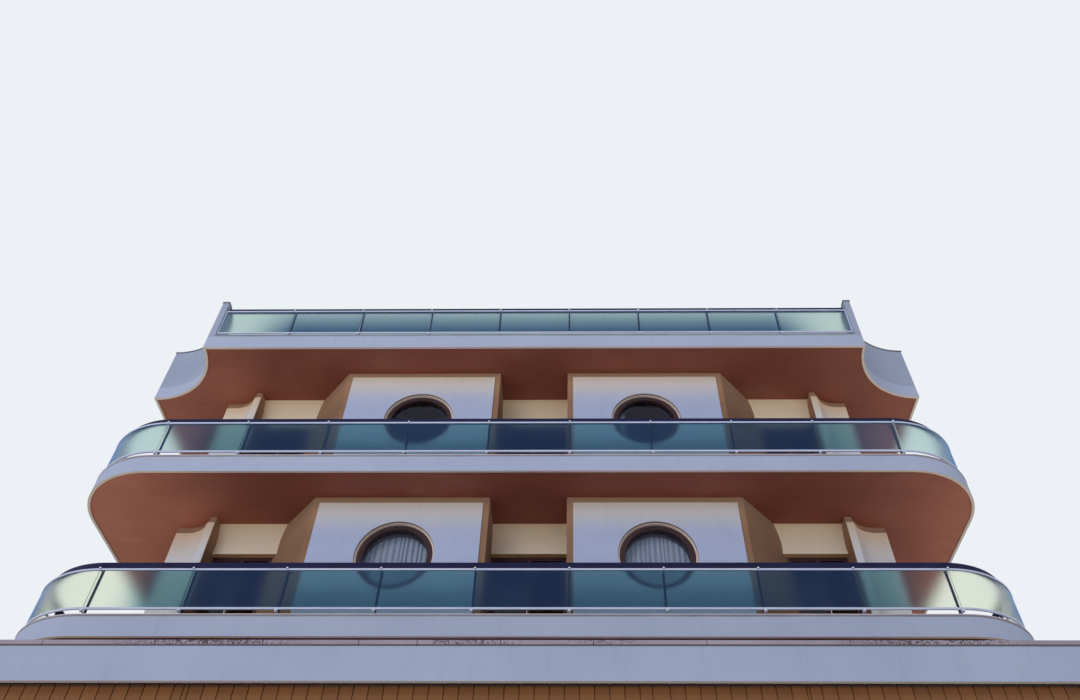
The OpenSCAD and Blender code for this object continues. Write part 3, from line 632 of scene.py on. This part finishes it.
# Holes of each wall: middle, width, sill and head over the ground slab
FRONT_HOLES = np.array([[-5.0, 3.6, 0.6, 3.15], [0, 3.2, 0, 3.15], [5.0, 3.6, 0.6, 3.15]])
BACK_HOLES = np.array([[-4.6, 2.4, 1.3, 3.15], [0, 1.8, 0, 2.4], [4.6, 2.4, 1.3, 3.15]])
SIDE_HOLES = np.array([[-5.6, 2.4, 1.3, 3.15], [0, 2.4, 1.3, 3.15], [5.6, 2.4, 1.3, 3.15]])


def board_edges(half_len, holes):
    """Where boards meet along a wall: every pitch from its end and at the sides of each hole."""
    middle, half_w = holes[:, 0], holes[:, 1] / 2
    sides = np.concatenate([middle - half_w, middle + half_w, [-half_len, half_len]])
    pitch_lines = np.arange(-half_len + BOARD_PITCH, half_len, BOARD_PITCH)
    clear = np.abs(pitch_lines[:, None] - sides[None]).min(axis=1) > LEAST_BOARD
    return np.sort(np.concatenate([pitch_lines[clear], sides]))


def boards_on_wall(name, half_len, out, holes, turns):
    """Upright boards on one wall. Each is a prism with chamfered front edges, and a board that a
    hole cuts is a piece below it and a piece above it."""
    floor_level = high("ground_floor").z
    top = low("ground_band").z
    edges = board_edges(half_len, holes)
    middle = (edges[1:] + edges[:-1]) / 2
    width = np.diff(edges) - BOARD_GROOVE
    in_hole = np.abs(middle[:, None] - holes[None, :, 0]) < holes[None, :, 1] / 2
    cut = in_hole.any(axis=1)
    hole = holes[in_hole.argmax(axis=1)]
    z0 = np.concatenate([np.full(len(middle), floor_level), (floor_level + hole[:, 3])[cut]])
    z1 = np.concatenate([np.where(cut, floor_level + hole[:, 2], top), np.full(cut.sum(), top)])
    x = np.concatenate([middle, middle[cut]])
    w = np.concatenate([width, width[cut]])
    real = z1 - z0 > LEAST_BOARD
    x, w, z0, z1 = x[real], w[real], z0[real], z1[real]
    # Section of a board: which side each corner is on, how far the chamfer draws it in, its depth
    side = np.array([-1, -1, -1, 1, 1, 1])
    drawn_in = np.array([0, 0, 1, -1, 0, 0]) * BOARD_CHAMFER
    depth = np.array([0, BOARD_CHAMFER - BOARD_T, -BOARD_T, -BOARD_T, BOARD_CHAMFER - BOARD_T, 0])
    across = x[:, None] + (side * w[:, None] / 2 + drawn_in)
    levels = np.stack([z0, z1], axis=1)[:, :, None]
    points = np.stack(np.broadcast_arrays(across[:, None], out + depth, levels), axis=3)
    size = 2 * len(side)
    shape = (points.reshape(-1, 3), numbered(capped(points[0])[1], len(x), size))
    made = new_piece(name, turned(shape, turns), "boarded_wall")
    number_points(made, "board_tone", np.repeat(np.random.default_rng(7).random(len(x)), size))


def board_the_ground_floor():
    """Boards on the four walls of the ground floor, cut out round its doors and windows."""
    front, side = low("ground_front_wall").y, -high("ground_side_walls").x
    half_w = high("ground_front_wall").x
    boards_on_wall("front_boards", half_w, front, FRONT_HOLES, 0)
    boards_on_wall("back_boards", half_w, front, BACK_HOLES * [-1, 1, 1, 1], 2)
    boards_on_wall("right_boards", -front, side, SIDE_HOLES, 1)
    boards_on_wall("left_boards", -front, side, SIDE_HOLES, 3)


# Round windows

PORT_X = 2.190
PORT_Z = 1.600
PORT_R = 0.644
PORT_FRAME_W = 98 * MM
PORT_REVEAL = 72 * MM


def at_round_windows(shape):
    """A shape that is drawn for a window with its middle at the origin, at all the round windows."""
    front, back = [repeated(shape, np.array([(x, face, level + PORT_Z) for level in FLOORS
                                             for x in (-PORT_X, PORT_X)]))
                   for face in (low("render_panels").y, -high("second_storey_back_wall").y)]
    return joined([front, turned(back, 2)])


def round_bead(radius, width, height, points):
    """Half-round bead on the face of a round frame, which lies at the depth of the reveal: half an
    ellipse, closed along the face, turned round the window."""
    angle = np.linspace(0, np.pi, points)
    section = [radius + width / 2 * np.cos(angle), PORT_REVEAL - height * np.sin(angle)]
    return closed_ring(turned_profile(np.stack(section, axis=1), CIRCLE_POINTS))


def round_window_mouldings():
    """Two turned beads on the face of each round frame, a broad outer one and a thin glazing bead, and
    a painted bead in the corner between the frame and its lining."""
    broad = round_bead(PORT_R - 32 * MM, 52 * MM, 15 * MM, 9)
    thin = round_bead(PORT_R - PORT_FRAME_W + 14 * MM, 20 * MM, 9 * MM, 7)
    painted = round_bead(PORT_R - 5 * MM, 14 * MM, 9 * MM, 7)
    new_piece("round_window_mouldings", at_round_windows(joined([broad, thin])),
              "dark_joinery", smooth=True)
    new_piece("round_window_beads", at_round_windows(painted),
              "lining_render", smooth=True)


# Curtains

PLEAT = 88 * MM
PLEAT_DEPTH = 34 * MM
# Points across a curtain and down it
CURTAIN_GRID = (601, 25)


def pleated_curtain(name, x0, x1, seed, storeys_up=0, pleat=PLEAT):
    """Gathered curtain: each pleat is a round fold between two narrow ones, the root of a cosine, whose
    phase wanders a little from the heading down, and it opens out towards the hem. Its flat width is
    the length of that wave."""
    up = Vector((0, 0, storeys_up * STOREY_H))
    lo, hi = low("curtains") + up, high("curtains") + up
    across, down = np.meshgrid(*[np.linspace(0, 1, points) for points in CURTAIN_GRID], indexing="ij")
    chance = np.random.default_rng(seed).random(6) * TURN
    pleats = (x1 - x0) / pleat
    wander = 1.6 * np.sin(TURN * 1.3 * across + chance[0]) + 0.7 * np.sin(TURN * 5.3 * across + chance[4])
    lean = 0.8 * np.sin(TURN * 3.1 * across + chance[1] + 1.2 * down)
    phase = TURN * pleats * across + wander + lean
    swell = 0.75 + 0.25 * np.sin(TURN * 2.3 * across + chance[2])
    wave = 0.6 - 1.2 * np.abs(np.cos(phase / 2)) ** 0.7 + 0.12 * np.sin(2 * phase + chance[3])
    x = x0 + (x1 - x0) * across + 4 * MM * np.cos(phase)
    y = (lo.y + hi.y) / 2 + PLEAT_DEPTH * swell * (0.8 + 0.2 * down) * wave
    z = hi.z - (hi.z - lo.z) * down
    points = np.stack([x, y, z], axis=2)
    shape = (points.reshape(-1, 3), [quads(*CURTAIN_GRID)])
    made = new_piece(name, shape, "curtain_cloth", smooth=True)
    # Painted light of the folds: high on their ridges, low in their hollows
    number_points(made, "fold_light", np.clip(0.5 - wave, 0, 1).ravel())
    return made


def hang_curtains():
    """Two curtains across round windows, in the place of their plain stand-ins, and one drawn back."""
    half_w = high("curtains").x - PORT_X
    left = pleated_curtain("left_curtain", -PORT_X - half_w, -PORT_X + half_w, 3)
    right = pleated_curtain("right_curtain", PORT_X - half_w, PORT_X + half_w, 8)
    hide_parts("curtains")
    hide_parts("curtains")
    # In the storey above, one curtain is drawn back to the side, 0.385 m from the middle of its window
    pleated_curtain("drawn_curtain", PORT_X - half_w + 40 * MM, PORT_X - 0.385, 5, 1, 0.6 * PLEAT)


# Floors and roof covering

TILE_T = 8 * MM
KERB_H = 40 * MM
ROOF_KERB_H = 55 * MM
ROOF_KERB_W = 120 * MM
CAP_T = 16 * MM
CAP_OVER = 8 * MM
CAP_EASE = 4 * MM
CAP_DRIP = 3 * MM
FELT_T = 4 * MM
FELT_LAP = 5 * MM
FELT_DROP = 4 * MM
FELT_GAP = 2 * MM
UPSTAND_T = 15 * MM
TERRACE_EDGE = np.array([[-1, -1], [1, -1], [1, 1], [-1, 1]]) * high("terrace_floor").xy


def slab_outline(inset):
    """Outline of a slab at a distance behind its edge: four quarter arcs joined by straight sides."""
    angle = np.linspace(0, np.pi / 2, CORNER_POINTS)
    radius = CORNER_R - inset
    arcs = [np.stack([sx * AXIS_X + radius * np.cos(angle + turn),
                      sy * AXIS_Y + radius * np.sin(angle + turn)], axis=1)
            for sx, sy, turn in ((1, 1, 0), (-1, 1, np.pi / 2), (-1, -1, np.pi), (1, -1, 1.5 * np.pi))]
    return np.concatenate(arcs)


def kerb_caps():
    """Thin stone on top of the kerbs, with an eased nose that stands over the slab's edge: round each
    balcony a section of distance behind the edge and height is carried along the outline, and at the
    front and back of the roof it runs straight between the piers."""
    # The last two corners of the section reach back as far as the kerb does
    behind = np.array([CAP_DRIP - CAP_OVER, -CAP_OVER, -CAP_OVER, CAP_EASE - CAP_OVER, np.inf, np.inf])
    height = np.array([0, CAP_DRIP, CAP_T - CAP_EASE, CAP_T, CAP_T, 0])
    shapes = []
    for level in FLOORS[1:]:
        rings = [at_height(slab_outline(b), level + KERB_H + h)
                 for b, h in zip(np.minimum(behind, KERB_W), height)]
        shapes.append(closed_ring(np.stack(rings, axis=1)))
    # The straight ones stop 1 mm short of the piers
    half = AXIS_X - PARAPET_T - 1 * MM
    section = np.stack([0 * height, np.minimum(behind, ROOF_KERB_W) - SLAB_HALF_D,
                        ROOF_DECK + ROOF_KERB_H + height], axis=1)
    strip = capped(np.stack([section - [half, 0, 0], section + [half, 0, 0]]))
    shapes += [turned(strip, turns) for turns in (0, 2)]
    new_piece("kerb_caps", joined(shapes), "kerb_paint")


def half_width_between_scoops(y, half_w, radius):
    """Half the width of the roof at a depth: full in the middle, and narrowed near the front and the
    back by the arcs about the slab's corners."""
    into = np.clip(np.abs(y) - (SLAB_HALF_D - radius), 0, None)
    rise = np.sqrt(np.clip(radius ** 2 - (radius - into) ** 2, 0, None))
    return np.minimum(half_w, np.where(into > 0, SLAB_HALF_W - rise, half_w))


def felt_on_the_roof():
    """Lengths of felt across the roof, each lying over the edge of the next one in front of it: a
    grid whose height climbs by a lap over each roll and drops again just before its edge."""
    laps = np.arange(-FELT_HALF_D + FELT_ROLL, FELT_HALF_D, FELT_ROLL)
    # Rows lie closer together in the 1.6 m at each end, where the scooped corners narrow the felt
    ends = FELT_HALF_D - 1.6 * (1 - np.cos(np.linspace(0, np.pi / 2, 25)))
    y = np.unique(np.concatenate([laps - FELT_DROP, laps, ends, -ends, [0.0]]))
    climb = ((y + FELT_HALF_D) / FELT_ROLL) % 1
    z = ROOF_DECK + FELT_T + FELT_LAP * np.where(np.isin(y, laps), 0, climb)
    edge = PARAPET_T + FELT_GAP
    half = half_width_between_scoops(y, SLAB_HALF_W - edge, CORNER_R + edge)
    u = np.linspace(-1, 1, 9)[None, :]
    top = np.stack([half[:, None] * u, y[:, None] + 0 * u, z[:, None] + 0 * u], axis=2).reshape(-1, 3)
    foot = top * [1, 1, 0] + [0, 0, ROOF_DECK]
    rows, cols = len(y), u.shape[1]
    grid = quads(rows, cols)
    numbers = np.arange(rows * cols).reshape(rows, cols)
    rim = np.concatenate([numbers[0, :-1], numbers[:-1, -1], numbers[-1, :0:-1], numbers[:0:-1, 0]])
    skirt = np.stack([rim, np.roll(rim, -1), np.roll(rim, -1) + rows * cols, rim + rows * cols], axis=1)
    shape = (np.concatenate([top, foot]), [grid, grid[:, ::-1] + rows * cols, skirt])
    new_piece("roof_felt", shape, "roof_felt")


def terrace_upstand():
    """Painted render on the inner side of the terrace's parapet, from the floor up to the coping: four
    corners of its section, each carried round the terrace."""
    inner = TERRACE_EDGE - np.sign(TERRACE_EDGE) * UPSTAND_T
    head = low("ground_coping").z
    levels = [at_height(ring, z) for ring, z in
              ((TERRACE_EDGE, TERRACE), (inner, TERRACE), (inner, head), (TERRACE_EDGE, head))]
    new_piece("terrace_upstand", closed_ring(np.stack(levels, axis=1)), "white_render")


def cover_floors():
    """Tiles on the balconies and the terrace, caps on the kerbs, felt on the roof, and the upstand."""
    outline = slab_outline(KERB_W + 2 * MM)
    for name, z in (("lower_balcony_tiles", FLOORS[1]), ("upper_balcony_tiles", FLOORS[2])):
        new_piece(name, bar(outline, z, z + TILE_T), "balcony_tiles")
    # The tiles of the terrace stop about 4 mm short of its parapet
    tiles = bar(TERRACE_EDGE * 0.9995, TERRACE, TERRACE + TILE_T)
    new_piece("terrace_tiles", tiles, "terrace_paving")
    kerb_caps()
    felt_on_the_roof()
    terrace_upstand()


# Fittings of the balustrades

FRONT_PANELS = 9
SIDE_PANELS = 7
ROOF_PITCH = 2 * (AXIS_X - PARAPET_T) / FRONT_PANELS
GLASS_SET = 44 * MM
GLASS_T = 12 * MM
PANE_GAP = 8 * MM
EDGE_T = 2 * MM
EDGE_EASE = 0.9 * MM
KNOB_SET = 28 * MM
KNOB_R = 16 * MM
KNOB_HEIGHTS = (136 * MM, 867 * MM)
HEAD_R = KNOB_R + 3 * MM
HEAD_H = 14 * MM


def at_balustrade_joints(shape, heights=(0,)):
    """A shape that is drawn for one joint between two panes, with the slab edge on Y = 0 and the floor
    on Z = 0, at every joint of the balconies and of the roof."""
    front = (AXIS_X, FRONT_PANELS, SLAB_HALF_D)
    side = (AXIS_Y, SIDE_PANELS, SLAB_HALF_W)
    sides = []
    for turns in range(4):
        half_run, panels, edge = side if turns % 2 else front
        rows = [(np.linspace(-half_run, half_run, panels + 1), level) for level in FLOORS[1:]]
        if turns % 2 == 0:
            half = ROOF_PITCH * (FRONT_PANELS / 2 - 1)
            rows.append((np.linspace(-half, half, FRONT_PANELS - 1), ROOF_DECK))
        places = [(x, -edge, level + height) for row, level in rows for x in row for height in heights]
        sides.append(turned(repeated(shape, np.array(places)), turns))
    return joined(sides)


def dome(radius, height, rings, sides):
    """Shallow dome that faces -Y: a quarter ellipse between its rim and its crown, turned round Y."""
    angle = np.linspace(0, np.pi / 2, rings, endpoint=False)
    profile = np.stack([radius * np.cos(angle), -height * np.sin(angle)], axis=1)
    grid = turned_profile(profile, sides).reshape(-1, 3)
    points = np.concatenate([grid, [[0, -height, 0], [0, 0, 0]]])
    start = np.arange(sides) * rings
    next_start = np.roll(start, -1)
    crown = np.stack([start + rings - 1, next_start + rings - 1, np.full(sides, len(grid))], axis=1)
    foot = np.stack([next_start, start, np.full(sides, len(grid) + 1)], axis=1)
    return points, [quads(sides, rings, wrap_rows=True), crown, foot]


def clamp_heads():
    """A domed steel nut on the end of each clamp."""
    points, blocks = dome(HEAD_R, HEAD_H, 4, 20)
    heads = at_balustrade_joints((points + [0, KNOB_SET, 0], blocks), KNOB_HEIGHTS)
    new_piece("clamp_heads", heads, "steel", smooth=True)


def pane_edges():
    """The ground edge down each upright side of the panes: pale, with its corners taken off."""
    section = eased_section(EDGE_T, GLASS_T, EDGE_EASE)
    middle = (PANE_GAP - EDGE_T) / 2
    pair = joined([bar(section + [x, GLASS_SET], PANE_FOOT, PANE_HEAD) for x in (-middle, middle)])
    new_piece("pane_edges", at_balustrade_joints(pair), "ground_glass_edge")


# Fittings of the doors and windows

FRAME_W = 66 * MM
FRAME_D = 60 * MM
BEAD_W = 16 * MM
BEAD_H = 12 * MM
DOOR_FACE = low("door_frames").y
SIDE_DOOR_FACE = -(WALL_HALF_W - 150 * MM)
SIDE_DOOR_Y = 2.2
SIDE_DOOR_W = 1.1
OUTER_DOOR_X = 5.12275
OUTER_DOOR_W = 1.0545
MIDDLE_DOOR_W = 1.35
DOOR_HEADS = (2.222, 2.222, 2.292)
# Pulls: their foot over the floor, height, reach out of the face, radius of the bends, of the bar
PULL_FOOT = 0.95
PULL_H = 0.26
PULL_REACH = 55 * MM
PULL_BEND = 18 * MM
PULL_R = 8 * MM
# The frames of the ground floor and its walls stand this far behind the band over them
GROUND_FRAME_SET = 212 * MM
GROUND_WALL_SET = 62 * MM
SILL_OVER = 48 * MM
SILL_GAP = 4 * MM
BASE_HALF = high("ground_band")


def framed_lights():
    """Every framed doorway and window as its side of the building in quarter turns, the middle of its
    foot before that turn, its width and height, and which of its two lights are glazed."""
    rows = []
    for level, head in zip(FLOORS, DOOR_HEADS):
        for turns in (0, 2):
            for x, w in ((-OUTER_DOOR_X, OUTER_DOOR_W), (0, MIDDLE_DOOR_W), (OUTER_DOOR_X, OUTER_DOOR_W)):
                rows.append((turns, (x, DOOR_FACE, level), w, head, (-1,)))
        for turns in (1, 3):
            for x in (-SIDE_DOOR_Y, SIDE_DOOR_Y):
                rows.append((turns, (x, SIDE_DOOR_FACE, level), SIDE_DOOR_W, head, (-1,)))
    floor_level = high("ground_floor").z
    for turns, half, holes in ((0, BASE_HALF.y, FRONT_HOLES), (2, BASE_HALF.y, BACK_HOLES),
                               (1, BASE_HALF.x, SIDE_HOLES), (3, BASE_HALF.x, SIDE_HOLES)):
        for x, w, sill, head in holes:
            glazed = (-1, 1) if sill > 0 else (-1,)
            foot = (x, GROUND_FRAME_SET - half, floor_level + sill)
            rows.append((turns, foot, w, head - sill, glazed))
    return rows


def on_both_faces(shape, place, inset, turns):
    """A fitting that is drawn on Y = 0, on the outer face of a frame at a place, inset into it, and
    mirrored on its inner face."""
    points, blocks = shape
    outside = points + place + [0, inset, 0]
    inside = points * [1, -1, 1] + place + [0, FRAME_D - inset, 0]
    return [turned((side, blocks), turns) for side in (outside, inside)]


def rectangle_bead(light_w, light_h):
    """Glazing bead round a light: a rounded section carried round a rectangle with mitred corners. The
    middle of the light's foot is at the origin and the pane's face on Y = 0."""
    inward = np.array([0, 0, 0.3, 0.7, 1.0]) * BEAD_W
    proud = np.array([0, 0.75, 1.0, 1.0, 0]) * BEAD_H
    side = np.array([-1, 1, 1, -1])[:, None]
    at_head = np.array([0, 0, 1, 1])[:, None]
    x = side * (light_w / 2 - inward)
    z = np.where(at_head == 1, light_h - inward, inward)
    return closed_ring(np.stack([x, -proud + 0 * x, z], axis=2))


def glazing_beads():
    """A bead on both faces of every glazed light."""
    shapes = []
    for turns, place, w, h, lights in framed_lights():
        light_w = (w - 3 * FRAME_W) / 2
        bead = rectangle_bead(light_w, h - 2 * FRAME_W)
        for light in lights:
            foot = np.array([light * (light_w + FRAME_W) / 2, 0, FRAME_W]) + place
            shapes += on_both_faces(bead, foot, (FRAME_D - GLASS_T) / 2, turns)
    new_piece("glazing_beads", joined(shapes), "dark_joinery")


def tube(path, radius, sides):
    """Round bar along a path that stays in the YZ plane: at each point a circle stands square to the
    path, spanned by the X axis and the path's own normal."""
    along = np.gradient(path, axis=0)
    along /= np.linalg.norm(along, axis=1)[:, None]
    normal = np.stack([0 * along[:, 0], -along[:, 2], along[:, 1]], axis=1)[:, None]
    angle = np.linspace(0, TURN, sides, endpoint=False)[:, None]
    return capped(path[:, None] + radius * (np.cos(angle) * [1, 0, 0] + np.sin(angle) * normal))


def pull_path():
    """Path of a door pull that starts and ends on the face: out, round a quarter circle, up, and back."""
    angle = np.linspace(0, np.pi / 2, 7)
    lower = np.stack([0 * angle, -(PULL_REACH - PULL_BEND) - PULL_BEND * np.sin(angle),
                      PULL_BEND * (1 - np.cos(angle))], axis=1)
    upper = lower[::-1] * [1, 1, -1] + [0, 0, PULL_H]
    return np.concatenate([[[0, 0, 0]], lower, upper, [[0, 0, PULL_H]]])


def door_pulls():
    """A bent steel pull on the meeting stile of every door, outside and inside."""
    pull = tube(pull_path(), PULL_R, 12)
    shapes = []
    for turns, place, _, _, lights in framed_lights():
        if len(lights) == 1:
            shapes += on_both_faces(pull, np.array(place) + [0, 0, PULL_FOOT], 0, turns)
    new_piece("door_pulls", joined(shapes), "steel", smooth=True)


def window_sills():
    """Sloping cast stone sills under the windows of the ground floor, with a drip nose: each is a
    section carried across its window."""
    # Section as distance in front of the frame's face and height over the foot of the hole
    nose = GROUND_FRAME_SET - GROUND_WALL_SET + SILL_OVER
    section = np.array([[0, 0], [nose, 0], [nose, 26 * MM], [nose - 6 * MM, 32 * MM], [0, 46 * MM]])
    shapes = []
    for turns, place, w, _, lights in framed_lights():
        if len(lights) == 2:
            half = w / 2 - SILL_GAP
            ends = [np.stack([np.full(len(section), x), -section[:, 0], section[:, 1]], axis=1)
                    for x in (-half, half)]
            shapes.append(turned(capped(np.stack(ends) + place), turns))
    new_piece("window_sills", joined(shapes), "coping")


# Camera, light and floor

def photo_camera():
    """The photograph's view: a low stand in front of the building, looking up at it."""
    stand = (0.81, -17.817, 1.6)
    pitch, yaw, roll = math.radians(48.07), math.radians(-0.80), math.radians(0.459)
    ahead = Vector((math.sin(yaw) * math.cos(pitch), math.cos(yaw) * math.cos(pitch), math.sin(pitch)))
    level = ahead.cross(Vector((0, 0, 1))).normalized()
    over = level.cross(ahead)
    right = level * math.cos(roll) + over * math.sin(roll)
    up = over * math.cos(roll) - level * math.sin(roll)
    lens = bpy.data.cameras.new("photo_camera")
    lens.sensor_width = 36
    lens.lens = 29.30
    lens.shift_x = -0.0241
    lens.clip_end = 500
    axes = Matrix((right, up, -ahead)).transposed()
    scene.camera = new_object("photo_camera", lens)
    scene.camera.matrix_world = Matrix.Translation(stand) @ axes.to_4x4()


def soft_light(name, place, aim, size, power):
    """Wide round lamp that is aimed at a point. Neither gloss nor glass shows the lamp itself."""
    lamp = bpy.data.lights.new(name, "AREA")
    lamp.shape = "DISK"
    lamp.size = size
    lamp.energy = power
    made = new_object(name, lamp)
    made.location = place
    made.rotation_euler = (Vector(aim) - Vector(place)).to_track_quat("-Z", "Y").to_euler()
    made.visible_glossy = made.visible_transmission = False


FLOOR_R = 90
FADE_FROM = 30


def pale_floor(tree, place):
    """Pale matt floor, whose far part fades out into the backdrop."""
    tone = patches(tree, place, 4.0, ("#ECEEF1", "#F0F1F4"))
    ground = add(tree, "BsdfDiffuse", {"Color": tone})
    away = add(tree, "VectorMath", place, output="Value", operation="LENGTH")
    gone = add(tree, "MapRange", {"Value": away, "From Min": FADE_FROM, "From Max": FLOOR_R},
               interpolation_type="SMOOTHSTEP")
    return add(tree, "MixShader", gone, ground, add(tree, "BsdfTransparent"))


def studio():
    """A pale floor, an even pale surround that also lights the scene, and two large soft lamps."""
    scene.world = bpy.data.worlds.new("studio")
    scene.world.use_nodes = True
    tree = scene.world.node_tree
    tree.nodes.clear()
    rays = add(tree, "LightPath").node.outputs
    seen = rays["Is Camera Ray"]
    for ray in ("Is Glossy Ray", "Is Transmission Ray"):
        seen = add(tree, "Math", seen, rays[ray], operation="MAXIMUM")
    light = add(tree, "Background", {"Color": "#EEF1F7", "Strength": 0.62})
    backdrop = add(tree, "Background", {"Color": "#EDF1F6", "Strength": 1.0})
    add(tree, "OutputWorld", {"Surface": add(tree, "MixShader", seen, light, backdrop)})

    angle = np.linspace(0, TURN, CIRCLE_POINTS, endpoint=False)
    points = np.stack([FLOOR_R * np.cos(angle), FLOOR_R * np.sin(angle), 0 * angle], axis=1)
    mesh = bpy.data.meshes.new("floor")
    mesh.from_pydata(points.tolist(), [], [list(range(len(angle)))])
    mesh.materials.append(new_material("pale_floor", pale_floor))
    new_object("floor", mesh)

    soft_light("front_lamp", (-22, -56, 24), (0, 0, 9), 34, 11500)
    soft_light("back_lamp", (28, 48, 40), (0, 0, 9), 34, 13000)


scene.view_settings.view_transform = "Standard"
photo_camera()
studio()
paint_cad_nodes()
board_the_ground_floor()
round_window_mouldings()
hang_curtains()
cover_floors()
clamp_heads()
pane_edges()
glazing_beads()
door_pulls()
window_sills()
